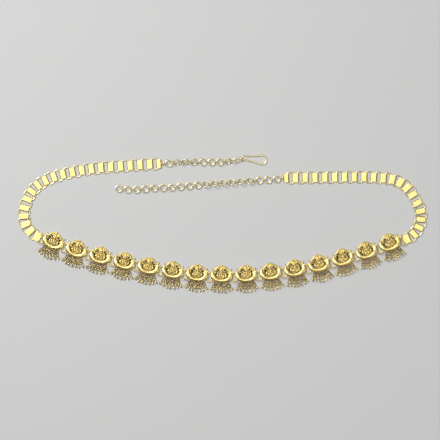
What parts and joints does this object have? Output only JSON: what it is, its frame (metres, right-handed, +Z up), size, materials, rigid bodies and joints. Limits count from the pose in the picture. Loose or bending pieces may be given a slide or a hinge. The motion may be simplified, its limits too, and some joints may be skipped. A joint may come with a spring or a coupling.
{
  "type": "oddiyanam waist belt",
  "caption": "Waist belt of linked figured plaques with a ball fringe, folded-plate book chains, a hook on a ring chain and a long chain of rings to hook it on, laid out open.",
  "frame": {"origin": "middle of the flat back of the centre plaque, on the surface that the belt lies on", "axes": "+X along the belt to the right, +Y from the fringe towards the plaque tops, +Z up from the surface towards the viewer"},
  "size_m": [0.4093, 0.1387, 0.0055],
  "materials": {
    "plaque_gold": "cast and gilded, antique, dark in the hollows",
    "fringe_gold": "gilded balls, bright at the tips and browner near the rail",
    "book_gold": "pale polished gilding on sheet",
    "ring_gold": "polished gilded wire"
  },
  "bodies": {
    "root": {"plaque_01": "plaque_gold", "plaque_02": "plaque_gold", "plaque_03": "plaque_gold", "plaque_04": "plaque_gold", "plaque_05": "plaque_gold", "plaque_06": "plaque_gold", "plaque_07": "plaque_gold", "plaque_08": "plaque_gold", "plaque_09": "plaque_gold", "plaque_10": "plaque_gold", "plaque_11": "plaque_gold", "plaque_12": "plaque_gold", "plaque_13": "plaque_gold", "plaque_14": "plaque_gold", "plaque_15": "plaque_gold", "fringe_01": "fringe_gold", "fringe_02": "fringe_gold", "fringe_03": "fringe_gold", "fringe_04": "fringe_gold", "fringe_05": "fringe_gold", "fringe_06": "fringe_gold", "fringe_07": "fringe_gold", "fringe_08": "fringe_gold", "fringe_09": "fringe_gold", "fringe_10": "fringe_gold", "fringe_11": "fringe_gold", "fringe_12": "fringe_gold", "fringe_13": "fringe_gold", "fringe_14": "fringe_gold", "fringe_15": "fringe_gold", "plaque_rings": "ring_gold", "left_front_plate": "book_gold", "left_book_links": "ring_gold", "left_book_plates": "book_gold", "left_rear_plate": "book_gold", "right_front_plate": "book_gold", "right_book_links": "ring_gold", "right_book_plates": "book_gold", "right_rear_plate": "book_gold", "hook_chain_rings": "ring_gold", "hook_chain_links": "ring_gold", "oval_link": "ring_gold", "hook": "ring_gold", "extender_rings": "ring_gold", "extender_links": "ring_gold"}
  },
  "joints": []
}
